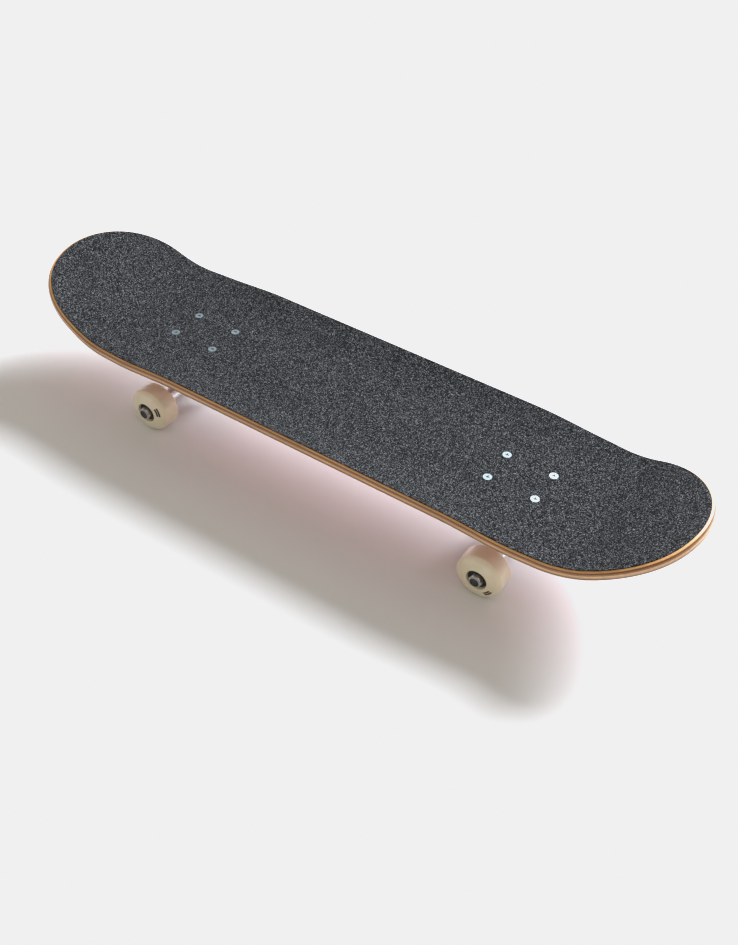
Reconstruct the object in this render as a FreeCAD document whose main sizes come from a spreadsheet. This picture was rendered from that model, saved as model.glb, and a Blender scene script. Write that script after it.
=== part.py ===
import FreeCAD, Part
import math
import os
import re

import Sketcher

# A complete street skateboard: a pressed seven-ply maple deck with griptape, two cast trucks that
# steer on urethane bushings, and four urethane wheels on ball bearings.
#
# Row frame: +X towards the nose, +Y to the left, +Z up, origin on the ground under the middle of
# the deck's length. Each truck is drawn in a frame of its own: the origin in the middle of its four
# mounting bolts on the deck's underside, +X towards the end of the board that the truck is nearest.

V = FreeCAD.Vector
X_AXIS, Y_AXIS, Z_AXIS = V(1, 0, 0), V(0, 1, 0), V(0, 0, 1)

# Driving dimensions, in millimetres and degrees.
SIZES = {
    # deck, measured from the middle of the wheelbase
    "nose_length": 408.5,
    "tail_length": 399.5,
    "deck_width": 205,
    "wheelbase": 358,
    "bolt_spacing_long": 54,
    "bolt_spacing_wide": 41.3,
    "ply_thickness": 1.5,
    "edge_round": 2.5,
    "grip_thickness": 1,
    "concave_flat_half": 34,
    "concave_radius": 275,
    "kick_radius": 125,
    "nose_flat_reach": 274,
    "tail_flat_reach": 273,
    "nose_kick_angle": 25,
    "tail_kick_angle": 24.8,
    "taper_radius": 878,
    "taper_angle": 7.4,
    "nose_shoulder_radius": 86,
    "nose_shoulder_angle": 64.4,
    "tail_shoulder_radius": 92,
    "tail_shoulder_angle": 58.2,
    # mounting hardware
    "bolt_radius": 2.4,
    "bolt_hole_clearance": 0.2,
    "bolt_length": 25.4,
    "bolt_head_radius": 4.7,
    "bolt_head_rim": 0.3,
    "bolt_head_sink": 0.1,
    "bolt_recess_span": 4.8,
    "bolt_recess_width": 1.1,
    "bolt_recess_depth": 1.5,
    "bolt_nut_flats": 9.5,
    "bolt_nut_height": 5.5,
    "bolt_nut_hex_height": 3.6,
    "bolt_nut_collar_radius": 4.3,
    # truck layout
    "truck_height": 50,
    "axle_offset": 11,
    "ring_inset": 14,
    "ring_depth": 35,
    "steering_angle": 27,
    "kingpin_lean": 8,
    "pivot_reach": 45,
    # baseplate
    "plate_length": 82,
    "plate_width": 56,
    "plate_thickness": 6,
    "plate_corner_radius": 9,
    "plate_edge_radius": 1.2,
    "seat_boss_radius": 15,
    "cup_boss_wall": 3,
    "cup_boss_end": 2,
    "rib_width": 9,
    "rib_depth": 5,
    # kingpin and bushings
    "kingpin_radius": 4.76,
    "kingpin_clearance": 0.15,
    "kingpin_head_radius": 8,
    "kingpin_head_thickness": 5,
    "kingpin_head_gap": 0.7,
    "kingpin_tail": 1,
    "kingpin_nut_flats": 14.3,
    "kingpin_nut_height": 7.5,
    "kingpin_nut_hex_height": 5.2,
    "kingpin_nut_collar_radius": 6.5,
    "boardside_height": 13,
    "boardside_radius": 12.5,
    "roadside_height": 9.5,
    "roadside_radius": 12,
    "roadside_tip_radius": 9.5,
    "bushing_bevel": 0.8,
    "bushing_lip_radius": 7.3,
    "bushing_lip_height": 2.5,
    "washer_thickness": 1.5,
    "washer_lip": 1,
    "washer_lip_height": 1,
    "washer_lip_gap": 0.3,
    # hanger
    "hanger_width": 138,
    "hanger_end_radius": 8.6,
    "hanger_waist_radius": 9.4,
    "hanger_middle_radius": 12.6,
    "hanger_collar_length": 5,
    "hanger_waist_reach": 36,
    "hanger_middle_reach": 14,
    "yoke_half_width": 30,
    "yoke_thickness": 11,
    "ring_floor": 8,
    "ring_lip_height": 2,
    "ring_wall": 2.5,
    "ring_seat_gap": 0.5,
    "ring_hole_gap": 0.2,
    "web_width": 17,
    "stub_radius": 5,
    "stub_root_radius": 6.6,
    "stub_root_length": 7,
    "stub_length": 13.5,
    "stub_nose": 2.5,
    "cup_wall": 2.9,
    "cup_clearance": 0.1,
    "cup_length": 10.2,
    "cup_end": 2.3,
    # axle hardware
    "axle_radius": 3.97,
    "axle_tip": 0.2,
    "axle_chamfer": 0.8,
    "axle_nut_flats": 12.7,
    "axle_nut_height": 6.4,
    "axle_nut_hex_height": 4.6,
    "axle_nut_collar_radius": 5.9,
    "axle_nut_insert_radius": 5.2,
    "axle_nut_insert_height": 1.5,
    "speed_washer_radius": 6.4,
    "speed_washer_thickness": 1,
    "speed_washer_gap": 0.08,
    # bearings
    "bearing_bore_gap": 0.03,
    "bearing_radius": 11,
    "bearing_width": 7,
    "inner_race_wall": 2.2,
    "outer_race_wall": 1.9,
    "ball_radius": 1.98,
    "ball_sink": 0.53,
    "ball_gap": 0.05,
    "cage_wall": 1.3,
    "cage_crown": 1,
    "cage_back": 0.7,
    "cage_gap": 0.08,
    "shield_thickness": 0.4,
    "shield_sink": 0.3,
    "shield_gap": 0.25,
    "spacer_length": 10,
    "spacer_wall": 1.5,
    # wheel
    "wheel_radius": 26,
    "wheel_width": 32,
    "wheel_tread_width": 18,
    "wheel_shoulder_drop": 3,
    "wheel_shoulder_width": 24.8,
    "wheel_ridge_width": 1,
    "wheel_hub_rim": 0.6,
    "wheel_hub_sink": 0.5,
    "wheel_bearing_stop": 1.4,
    "wheel_edge_radius": 6,
    "wheel_ridge_round": 1,
}

PLIES = 7
BALLS = 7

doc = FreeCAD.newDocument("Skateboard")
sheet = doc.addObject("Spreadsheet::Sheet", "Sizes")
for row, (alias, value) in enumerate(SIZES.items(), start=1):
    sheet.set(f"A{row}", alias.replace("_", " "))
    sheet.set(f"B{row}", str(value))
    sheet.setAlias(f"B{row}", alias)
doc.recompute()


# ---------------------------------------------------------------- sizes, sketches and solids


def size(alias):
    """The number in the sheet's cell of that name."""
    return float(getattr(sheet, alias))


# Sizes that follow from others, written over the sheet's names. What the walls and the balls
# leave of a bearing's section goes to the two races in halves, so the balls always touch both.
RACE_SPARE = (
    "(bearing_radius - axle_radius - bearing_bore_gap - inner_race_wall - outer_race_wall"
    " - 2 * (ball_radius - ball_sink))"
)
FOLLOWING = {
    "inner_race_radius": f"(axle_radius + bearing_bore_gap + inner_race_wall + {RACE_SPARE} / 2)",
    "outer_race_bore": f"(bearing_radius - outer_race_wall - {RACE_SPARE} / 2)",
}
FOLLOWING["ball_circle"] = "({inner_race_radius} + ball_radius - ball_sink)".format(**FOLLOWING)


def bound(text):
    """An expression over the sheet's names, as FreeCAD reads it."""
    for name, formula in FOLLOWING.items():
        text = re.sub(rf"\b{name}\b", formula, str(text))
    return re.sub(r"[a-z][a-z_]+", lambda m: "Sizes." + m[0] if m[0] in SIZES else m[0], str(text))


def bind(item, prop, text):
    item.setExpression(prop, bound(text))


def origin_plane(body, role):
    return next(f for f in body.Origin.OriginFeatures if f.Role == role)


def new_body(label):
    body = doc.addObject("PartDesign::Body", label)
    body.Label = label
    return body


def body_sketch(body, role):
    sketch = body.newObject("Sketcher::SketchObject", body.Label + "_sketch")
    sketch.AttachmentSupport = [(origin_plane(body, role), "")]
    sketch.MapMode = "FlatFace"
    return sketch


def lock(sketch, geometry, point, across, up):
    """Ties a point of the sketch to the sheet by its distances from the sketch's origin."""
    for kind, text in (("DistanceX", across), ("DistanceY", up)):
        if text is not None:
            place = sketch.getPoint(geometry, point)
            now = place.x if kind == "DistanceX" else place.y
            index = sketch.addConstraint(Sketcher.Constraint(kind, -1, 1, geometry, point, now))
            bind(sketch, f"Constraints[{index}]", text)


def polygon(sketch, corners):
    """A closed outline of straight lines, each corner tied to the sheet."""
    count = len(corners)
    turn = 2 * math.pi / count
    start = [V(50 + 20 * math.cos(i * turn), 20 * math.sin(i * turn), 0) for i in range(count)]
    for i in range(count):
        sketch.addGeometry(Part.LineSegment(start[i], start[(i + 1) % count]), False)
    for i in range(count):
        sketch.addConstraint(Sketcher.Constraint("Coincident", i, 2, (i + 1) % count, 1))
    for i, (across, up) in enumerate(corners):
        lock(sketch, i, 1, across, up)


def turned(label, corners, placement=None):
    """A body turned about its own Z axis from corners given as (radius, height)."""
    body = new_body(label)
    sketch = body_sketch(body, "XZ_Plane")
    polygon(sketch, corners)
    turn = body.newObject("PartDesign::Revolution", label + "_turn")
    turn.Profile = sketch
    turn.ReferenceAxis = (sketch, ["V_Axis"])
    turn.Angle = 360
    if placement:
        body.Placement = placement
    return body


def padded(label, role, corners, length, midplane=False, reverse=False):
    """A body pushed out of a flat outline on one of its origin planes."""
    body = new_body(label)
    sketch = body_sketch(body, role)
    polygon(sketch, corners)
    pad = body.newObject("PartDesign::Pad", label + "_pad")
    pad.Profile = sketch
    pad.Midplane = midplane
    pad.Reversed = reverse
    bind(pad, "Length", length)
    return body


def primitive(kind, label, placement=None, **sizes):
    """A Part primitive with its properties tied to the sheet."""
    item = doc.addObject("Part::" + kind, label)
    item.Label = label
    for prop, text in sizes.items():
        bind(item, prop, text)
    if placement:
        item.Placement = placement
    return item


def joined(kind, label, items, placement=None):
    """Part::MultiFuse, Part::MultiCommon or Part::Compound of several items."""
    item = doc.addObject("Part::" + kind, label)
    item.Label = label
    if kind == "Compound":
        item.Links = items
    else:
        item.Shapes = items
    if placement:
        item.Placement = placement
    return item


def cut(label, base, tool, placement=None):
    item = doc.addObject("Part::Cut", label)
    item.Label = label
    item.Base = base
    item.Tool = tool
    if placement:
        item.Placement = placement
    return item


def place(x=0.0, y=0.0, z=0.0, axis=Z_AXIS, angle=0.0):
    return FreeCAD.Placement(V(x, y, z), FreeCAD.Rotation(axis, angle))


nodes = []


def keep(item):
    """Notes an item as one of the finished sub-parts."""
    nodes.append(item)
    return item


# ---------------------------------------------------------------- where things stand

deck_thickness = PLIES * size("ply_thickness")
deck_underside = size("truck_height") + size("wheel_radius")
wheelbase_middle = (size("tail_length") - size("nose_length")) / 2
board = place(wheelbase_middle, 0, deck_underside)
pattern_reach = (size("wheelbase") + size("bolt_spacing_long")) / 2
TRUCKS = {
    "front": board.multiply(place(pattern_reach)),
    "rear": board.multiply(place(-pattern_reach, angle=180)),
}
# The board's left and right as seen from each truck, which is turned end for end at the rear.
SIDES = {"front": {"left": 1, "right": -1}, "rear": {"left": -1, "right": 1}}
bolt_places = [
    place(x * size("bolt_spacing_long") / 2, y * size("bolt_spacing_wide") / 2)
    for x in (-1, 1)
    for y in (-1, 1)
]

# The ring's centre is on the steering axis and on the kingpin's axis. Both frames start there: one
# has +Z up along the kingpin, the other +Z along the steering axis, towards the pivot cup.
ring_centre = V(-size("ring_inset"), 0, -size("ring_depth"))
kingpin_frame = FreeCAD.Placement(ring_centre, FreeCAD.Rotation(Y_AXIS, size("kingpin_lean")))
steering_frame = FreeCAD.Placement(ring_centre, FreeCAD.Rotation(Y_AXIS, 90 - size("steering_angle")))

# The axle's frame has +Z to the truck's left, from the middle of the axle.
axle_frame = place(size("axle_offset"), 0, -size("truck_height"), X_AXIS, -90)


def on_axle(truck, side, height):
    """The place on a truck's axle at that distance from its middle, +Z outwards; side is 1 or -1."""
    flip = 0 if side > 0 else 180
    return truck.multiply(axle_frame).multiply(place(axis=X_AXIS, angle=flip)).multiply(place(z=height))


# Up the kingpin from the ring's centre.
ring_half = size("ring_floor") / 2
boardside_top = ring_half + size("boardside_height")
seat_height = boardside_top + size("washer_thickness")
lean = math.radians(size("kingpin_lean"))
head_drop = size("kingpin_head_gap") + size("kingpin_head_radius") * math.sin(lean)
head_height = (size("ring_depth") - head_drop) / math.cos(lean) - size("kingpin_head_thickness")
roadside_bottom = -ring_half - size("roadside_height")
nut_top = roadside_bottom - size("washer_thickness")
kingpin_bottom = nut_top - size("kingpin_nut_height") - size("kingpin_tail")

# Along the steering axis from the ring's centre. The stub ends just past the pivot's middle.
stub_end = size("pivot_reach") + size("stub_nose")
stub_root = stub_end - size("stub_length") - size("stub_root_length")
cup_mouth = stub_end + size("cup_clearance") - size("cup_length")
cup_bottom = stub_end + size("cup_clearance") + size("cup_end")

# Along the axle from its middle, on each side.
inner_washer_at = size("hanger_width") / 2
inner_bearing_at = inner_washer_at + size("speed_washer_thickness")
spacer_at = inner_bearing_at + size("bearing_width")
outer_bearing_at = spacer_at + size("spacer_length")
outer_washer_at = outer_bearing_at + size("bearing_width")
axle_nut_at = outer_washer_at + size("speed_washer_thickness")
wheel_middle = spacer_at + size("spacer_length") / 2
inner_race_radius = size("axle_radius") + size("bearing_bore_gap") + size("inner_race_wall")
outer_race_bore = size("bearing_radius") - size("outer_race_wall")
ball_circle = (inner_race_radius + outer_race_bore) / 2


# ---------------------------------------------------------------- deck and griptape


def arc(centre_x, centre_y, radius, start, end):
    circle = Part.Circle(V(centre_x, centre_y, 0), Z_AXIS, radius)
    return Part.ArcOfCircle(circle, math.radians(start), math.radians(end))


def board_path():
    """The middle of the deck's underside from tail tip to nose tip: flat, with a bend into each kick."""
    sketch = doc.addObject("Sketcher::SketchObject", "board_path")
    sketch.Placement = place(axis=X_AXIS, angle=90)
    radius = size("kick_radius")
    edges = []
    for sign, end in ((-1, "tail"), (1, "nose")):
        flat, angle = size(end + "_flat_reach"), size(end + "_kick_angle")
        turn = math.radians(angle)
        bend_end = V(sign * (flat + radius * math.sin(turn)), radius * (1 - math.cos(turn)), 0)
        reach = size(end + "_length") - flat
        tip = bend_end + V(sign * reach * math.cos(turn), reach * math.sin(turn), 0)
        bend = arc(sign * flat, radius, radius, *((270 - angle, 270) if sign < 0 else (270, 270 + angle)))
        kick = Part.LineSegment(tip, bend_end) if sign < 0 else Part.LineSegment(bend_end, tip)
        edges += [kick, bend] if sign < 0 else [bend, kick]
    flat_line = Part.LineSegment(V(-size("tail_flat_reach"), 0, 0), V(size("nose_flat_reach"), 0, 0))
    edges.insert(2, flat_line)
    for edge in edges:
        sketch.addGeometry(edge, False)
    for first, second in ((0, 1), (1, 2), (2, 3), (3, 4)):
        sketch.addConstraint(Sketcher.Constraint("Tangent", first, 2, second, 1))
    lock(sketch, 2, 1, "-tail_flat_reach", 0)
    lock(sketch, 2, 2, "nose_flat_reach", 0)
    for line, bend, end in ((0, 1, "tail"), (4, 3, "nose")):
        now = size(end + "_length") - size(end + "_flat_reach")
        index = sketch.addConstraint(Sketcher.Constraint("Distance", line, now))
        bind(sketch, f"Constraints[{index}]", f"{end}_length - {end}_flat_reach")
        index = sketch.addConstraint(Sketcher.Constraint("Radius", bend, radius))
        bind(sketch, f"Constraints[{index}]", "kick_radius")
        turn = math.radians(size(end + "_kick_angle"))
        index = sketch.addConstraint(Sketcher.Constraint("Angle", bend, turn))
        bind(sketch, f"Constraints[{index}]", f"{end}_kick_angle * 1 deg")
    return sketch


def layer_section(label, low, high):
    """One layer's cross-section: flat in the middle and curving up to both sides.

    low and high are its faces' heights above the deck's underside, as expressions.
    """
    sketch = doc.addObject("Sketcher::SketchObject", label + "_section")
    sketch.Placement = FreeCAD.Placement(V(), FreeCAD.Rotation(V(1, 1, 1), 120))
    flat, radius, reach = size("concave_flat_half"), size("concave_radius"), size("deck_width") * 0.6
    start = {"low": 0.0, "high": 1.0}
    turn = {k: math.degrees(math.asin((reach - flat) / (radius - start[k]))) for k in start}

    def side(sign, face):
        edges = (270, 270 + turn[face]) if sign > 0 else (270 - turn[face], 270)
        return arc(sign * flat, radius, radius - start[face], *edges)

    def rim(sign, face):
        drop = (radius - start[face]) * math.cos(math.radians(turn[face]))
        return V(sign * reach, radius - drop, 0)

    edges = [
        Part.LineSegment(V(-flat, start["low"], 0), V(flat, start["low"], 0)),
        side(1, "low"),
        Part.LineSegment(rim(1, "low"), rim(1, "high")),
        side(1, "high"),
        Part.LineSegment(V(flat, start["high"], 0), V(-flat, start["high"], 0)),
        side(-1, "high"),
        Part.LineSegment(rim(-1, "high"), rim(-1, "low")),
        side(-1, "low"),
    ]
    for edge in edges:
        sketch.addGeometry(edge, False)
    # An arc's first point is its clockwise end, so the arcs meet the lines at these ends.
    meetings = [(0, 2, 1, 1), (1, 2, 2, 1), (2, 2, 3, 2), (3, 1, 4, 1)]
    meetings += [(4, 2, 5, 2), (5, 1, 6, 1), (6, 2, 7, 1), (7, 2, 0, 1)]
    for meeting in meetings:
        sketch.addConstraint(Sketcher.Constraint("Coincident", *meeting))
    for side_arc, sign in ((1, ""), (3, ""), (5, "-"), (7, "-")):
        lock(sketch, side_arc, 3, sign + "concave_flat_half", "concave_radius")
        lock(sketch, side_arc, 1 if sign else 2, sign + "deck_width * 0.6", None)
    lock(sketch, 0, 1, "-concave_flat_half", low)
    lock(sketch, 0, 2, "concave_flat_half", low)
    lock(sketch, 4, 1, "concave_flat_half", high)
    lock(sketch, 4, 2, "-concave_flat_half", high)
    return sketch


def board_outline(label, inset, height):
    """The deck's outline in plan, moved in by inset, an expression: two straight sides, and at each
    end a long taper, a shoulder and a round tip, all tangent to each other. The ends are sawn square
    to the kicks, so a layer's own height above the underside sets both of its tips back."""
    sketch = doc.addObject("Sketcher::SketchObject", label + "_outline")
    half = size("deck_width") / 2
    taper, taper_turn = size("taper_radius"), size("taper_angle")
    corners = {}
    for end in ("nose", "tail"):
        shoulder, turn = size(end + "_shoulder_radius"), taper_turn + size(end + "_shoulder_angle")
        cos_taper, cos_turn = math.cos(math.radians(taper_turn)), math.cos(math.radians(turn))
        sin_taper, sin_turn = math.sin(math.radians(taper_turn)), math.sin(math.radians(turn))
        tip = (half - taper * (1 - cos_taper) - shoulder * (cos_taper - cos_turn)) / cos_turn
        tip_x = size(end + "_length") - tip
        shoulder_x = tip_x + (tip - shoulder) * sin_turn
        shoulder_y = (tip - shoulder) * cos_turn
        corners[end] = {
            "tip": (tip_x, 0, tip, turn),
            "shoulder": (shoulder_x, shoulder_y, shoulder, turn),
            "taper": (shoulder_x - (taper - shoulder) * sin_taper, half - taper, taper, taper_turn),
        }

    def bend(end, kind, side):
        """An arc of the outline; the side is 1 on the left, -1 on the right and 0 at a tip."""
        x, y, radius, turn = corners[end][kind]
        before = {"tip": turn, "shoulder": taper_turn, "taper": 0}[kind]
        start, stop = (90 - turn, 90 - before) if side > 0 else (before - 90, turn - 90)
        if kind == "tip":
            start, stop = turn - 90, 90 - turn
        if end == "tail":
            x, start, stop = -x, 180 - stop, 180 - start
        return arc(x, side * y, radius, start, stop)

    nose_side, tail_side = corners["nose"]["taper"][0], -corners["tail"]["taper"][0]
    edges = [bend("nose", "tip", 0), bend("nose", "shoulder", 1), bend("nose", "taper", 1)]
    edges += [Part.LineSegment(V(nose_side, half, 0), V(tail_side, half, 0))]
    edges += [bend("tail", "taper", 1), bend("tail", "shoulder", 1), bend("tail", "tip", 0)]
    edges += [bend("tail", "shoulder", -1), bend("tail", "taper", -1)]
    edges += [Part.LineSegment(V(tail_side, -half, 0), V(nose_side, -half, 0))]
    edges += [bend("nose", "taper", -1), bend("nose", "shoulder", -1)]
    for edge in edges:
        sketch.addGeometry(edge, False)
    count = len(edges)
    for i in range(count):
        sketch.addConstraint(Sketcher.Constraint("Tangent", i, 2, (i + 1) % count, 1))
    for line in (3, 9):
        sketch.addConstraint(Sketcher.Constraint("Horizontal", line))
    lock(sketch, 3, 1, None, f"deck_width / 2 - {inset}")
    lock(sketch, 9, 1, None, f"{inset} - deck_width / 2")
    ties = {"taper_radius": (2, 4, 8, 10), "nose_shoulder_radius": (1, 11), "tail_shoulder_radius": (5, 7)}
    for alias, arcs in ties.items():
        for index in arcs:
            made = sketch.addConstraint(Sketcher.Constraint("Radius", index, size(alias)))
            bind(sketch, f"Constraints[{made}]", f"{alias} - {inset}")
    ties = {"taper_angle": (2, 4, 8, 10), "nose_shoulder_angle": (1, 11), "tail_shoulder_angle": (5, 7)}
    for alias, arcs in ties.items():
        for index in arcs:
            made = sketch.addConstraint(Sketcher.Constraint("Angle", index, math.radians(size(alias))))
            bind(sketch, f"Constraints[{made}]", f"{alias} * 1 deg")
    for tip_arc, sign, end in ((0, 1, "nose"), (6, -1, "tail")):
        point = sketch.addGeometry(Part.Point(V(sign * size(end + "_length"), 0, 0)), True)
        sketch.addConstraint(Sketcher.Constraint("PointOnObject", point, 1, tip_arc))
        text = f"({end}_length - {inset} - ({height}) * sin({end}_kick_angle * 1 deg))"
        lock(sketch, point, 1, text if sign > 0 else f"-1 * {text}", 0)
    return sketch


def bolt_cutter():
    """What drilling and countersinking for the eight bolts takes out of the deck and griptape."""
    top = f"{PLIES} * ply_thickness + grip_thickness"
    hole = "(bolt_radius + bolt_hole_clearance)"
    sink = "(bolt_head_radius + bolt_hole_clearance)"
    drills = []
    for end, truck in TRUCKS.items():
        for i, at in enumerate(bolt_places):
            corners = [(0, -5), (hole, -5)]
            corners += [(hole, f"{top} - bolt_head_sink - bolt_head_rim - {sink} + {hole}")]
            corners += [(sink, f"{top} - bolt_head_sink - bolt_head_rim"), (sink, f"{top} + 5"), (0, f"{top} + 5")]
            stand = board.inverse().multiply(truck).multiply(at)
            drills.append(turned(f"{end}_bolt_drill_{i}", corners, stand))
    return joined("Compound", "bolt_drills", drills)


def deck_layer(label, low, high, inset, path, drills):
    """One layer of the board: its section swept along the path, trimmed to the outline, drilled."""
    section = layer_section(label, low, high)
    blank = doc.addObject("Part::Sweep", label + "_blank")
    blank.Sections = [section]
    blank.Spine = (path, [])
    blank.Solid = True
    trim = doc.addObject("Part::Extrusion", label + "_trim")
    trim.Base = board_outline(label, inset, f"({low} + {high}) / 2")
    trim.Dir = Z_AXIS
    trim.DirMode = "Custom"
    trim.LengthFwd = size("nose_length")
    bind(trim, "LengthFwd", "nose_length")
    trim.LengthRev = size("ply_thickness")
    bind(trim, "LengthRev", "ply_thickness")
    trim.Solid = True
    trimmed = joined("MultiCommon", label + "_trimmed", [blank, trim])
    return keep(cut(label, trimmed, drills, board))


def make_deck():
    path, drills = board_path(), bolt_cutter()
    for ply in range(PLIES):
        # The edge is routed round, so the outer plies end further in than the middle one.
        height = (2 * ply + 1) / PLIES - 1
        share = 1 - math.sqrt(1 - height**2)
        low, high = f"{ply} * ply_thickness", f"{ply + 1} * ply_thickness"
        deck_layer(f"deck_ply_{ply + 1}", low, high, f"edge_round * {share:.4f}", path, drills)
    low = f"{PLIES} * ply_thickness"
    deck_layer("griptape", low, low + " + grip_thickness", "edge_round", path, drills)


# ---------------------------------------------------------------- nuts and bolts


def lock_nut(label, kind, bore, placement, insert=False):
    """A hexagon nut with chamfered corners and a round collar, standing up from its bearing face.

    With insert, the collar has the pocket that its nylon ring fills.
    """
    hexagon = primitive("Prism", label + "_hexagon", Height=f"{kind}_height")
    hexagon.Polygon = 6
    corner = f"{kind}_flats / 2 / {math.cos(math.pi / 6):.6f}"
    bind(hexagon, "Circumradius", corner)
    flats, hex_height, collar = f"{kind}_flats / 2", f"{kind}_hex_height", f"{kind}_collar_radius"
    bevel = f"({corner} - {flats}) * 0.6"
    corners = [(0, 0), (flats, 0), (corner, bevel), (corner, f"{hex_height} - {bevel}")]
    corners += [(flats, hex_height), (collar, hex_height), (collar, f"{kind}_height"), (0, f"{kind}_height")]
    envelope = turned(label + "_envelope", corners)
    blank = joined("MultiCommon", label + "_blank", [hexagon, envelope])
    tools = [primitive("Cylinder", label + "_bore", place(z=-1), Radius=bore, Height=f"{kind}_height + 2")]
    if insert:
        tools.append(
            primitive("Cylinder", label + "_pocket", Radius=f"{kind}_insert_radius", Height=f"{kind}_height")
        )
        bind(tools[1], "Placement.Base.z", f"{kind}_height - {kind}_insert_height")
    return cut(label, blank, joined("Compound", label + "_tools", tools), placement)


def mounting_bolt(label, placement):
    """A countersunk machine screw, head up, with a cross recess."""
    rim, slope = "-bolt_head_rim", "-bolt_head_rim - bolt_head_radius + bolt_radius"
    corners = [(0, 0), ("bolt_head_radius", 0), ("bolt_head_radius", rim), ("bolt_radius", slope)]
    corners += [("bolt_radius", "bolt_radius / 4 - bolt_length"), ("bolt_radius * 0.75", "-bolt_length")]
    corners += [(0, "-bolt_length")]
    blank = turned(label + "_blank", corners)
    arms = []
    for angle in (0, 90):
        arm = primitive("Box", f"{label}_recess_{angle}", Length="bolt_recess_span", Width="bolt_recess_width")
        bind(arm, "Height", "bolt_recess_depth * 2")
        middle = place(-size("bolt_recess_span") / 2, -size("bolt_recess_width") / 2, -size("bolt_recess_depth"))
        arm.Placement = place(angle=angle).multiply(middle)
        arms.append(arm)
    return cut(label, blank, joined("MultiFuse", label + "_recess", arms), placement)


def make_mounting_hardware(end, truck):
    bolts, nuts = [], []
    head_top = deck_thickness + size("grip_thickness") - size("bolt_head_sink")
    under_plate = place(z=-size("plate_thickness"), axis=X_AXIS, angle=180)
    for i, at in enumerate(bolt_places):
        stand = truck.multiply(at)
        bolts.append(mounting_bolt(f"{end}_bolt_{i}", stand.multiply(place(z=head_top))))
        nuts.append(lock_nut(f"{end}_bolt_nut_{i}", "bolt_nut", "bolt_radius", stand.multiply(under_plate)))
    keep(joined("Compound", f"{end}_mounting_bolts", bolts))
    keep(joined("Compound", f"{end}_mounting_nuts", nuts))


# ---------------------------------------------------------------- baseplate, kingpin and bushings


def make_baseplate(end, truck):
    """The cast plate under the deck, with the kingpin's boss, the pivot cup's boss and a rib."""
    label = f"{end}_baseplate"
    half_length, half_width = "plate_length / 2", "plate_width / 2"
    corners = [(f"-{half_length}", f"-{half_width}"), (half_length, f"-{half_width}")]
    corners += [(half_length, half_width), (f"-{half_length}", half_width)]
    plate = padded(label + "_plate", "XY_Plane", corners, "plate_thickness", reverse=True)
    doc.recompute()
    pad = plate.Tip
    upright = [
        f"Edge{i}"
        for i, edge in enumerate(pad.Shape.Edges, start=1)
        if abs(edge.tangentAt(edge.FirstParameter).z) > 0.99
    ]
    rounded = plate.newObject("PartDesign::Fillet", label + "_corners")
    rounded.Base = (pad, upright)
    bind(rounded, "Radius", "plate_corner_radius")
    doc.recompute()
    lower = [
        f"Edge{i}"
        for i, edge in enumerate(rounded.Shape.Edges, start=1)
        if edge.BoundBox.ZMax < -size("plate_thickness") + 0.01
    ]
    softened = plate.newObject("PartDesign::Fillet", label + "_lower_edge")
    softened.Base = (rounded, lower)
    bind(softened, "Radius", "plate_edge_radius")

    seat = kingpin_frame.multiply(place(z=seat_height))
    boss = primitive("Cone", label + "_seat_boss", seat, Radius1="seat_boss_radius")
    bind(boss, "Radius2", "seat_boss_radius * 1.15")
    bind(boss, "Height", "ring_depth")
    cup_radius = "stub_radius + cup_clearance + cup_wall"
    mouth = steering_frame.multiply(place(z=cup_mouth))
    tower = primitive("Cylinder", label + "_cup_boss", mouth, Radius=f"{cup_radius} + cup_boss_wall")
    bind(tower, "Height", "cup_length + cup_end + cup_boss_end")
    rib_end = (steering_frame.multiply(place(z=cup_mouth))).Base.x
    corners = [(-size("ring_inset"), 0), (-size("ring_inset"), "-plate_thickness - rib_depth")]
    corners += [(rib_end, "-plate_thickness - rib_depth"), (rib_end + size("cup_wall"), 0)]
    rib = padded(label + "_rib", "XZ_Plane", corners, "rib_width", midplane=True)
    casting = joined("MultiFuse", label + "_casting", [plate, boss, tower, rib])

    above = primitive("Box", label + "_above", Length="plate_length * 2", Width="plate_width * 2")
    bind(above, "Height", "ring_depth * 2")
    above.Placement = place(-size("plate_length"), -size("plate_width"), 0)
    hole = primitive("Cylinder", label + "_kingpin_hole", kingpin_frame, Height="ring_depth * 2")
    bind(hole, "Radius", "kingpin_radius + kingpin_clearance")
    head_face = kingpin_frame.multiply(place(z=head_height))
    pocket = primitive("Cylinder", label + "_head_pocket", head_face, Height="ring_depth")
    bind(pocket, "Radius", "kingpin_head_radius + kingpin_clearance")
    cup_pocket = primitive("Cylinder", label + "_cup_pocket", mouth, Radius=cup_radius)
    bind(cup_pocket, "Height", "cup_length + cup_end")
    tools = [above, hole, pocket, cup_pocket]
    for i, at in enumerate(bolt_places):
        drill = primitive("Cylinder", f"{label}_bolt_hole_{i}", Height="plate_thickness * 6")
        bind(drill, "Radius", "bolt_radius + bolt_hole_clearance")
        drill.Placement = at.multiply(place(z=-3 * size("plate_thickness")))
        tools.append(drill)
        # A flat for the nut, where a boss's flank would stand in its way.
        spot = primitive("Cylinder", f"{label}_nut_flat_{i}", Height="ring_depth")
        bind(spot, "Radius", "bolt_nut_flats * 0.65")
        spot.Placement = at.multiply(place(z=-size("plate_thickness") - size("ring_depth")))
        tools.append(spot)
    keep(cut(label, casting, joined("MultiFuse", label + "_tools", tools), truck))


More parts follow.
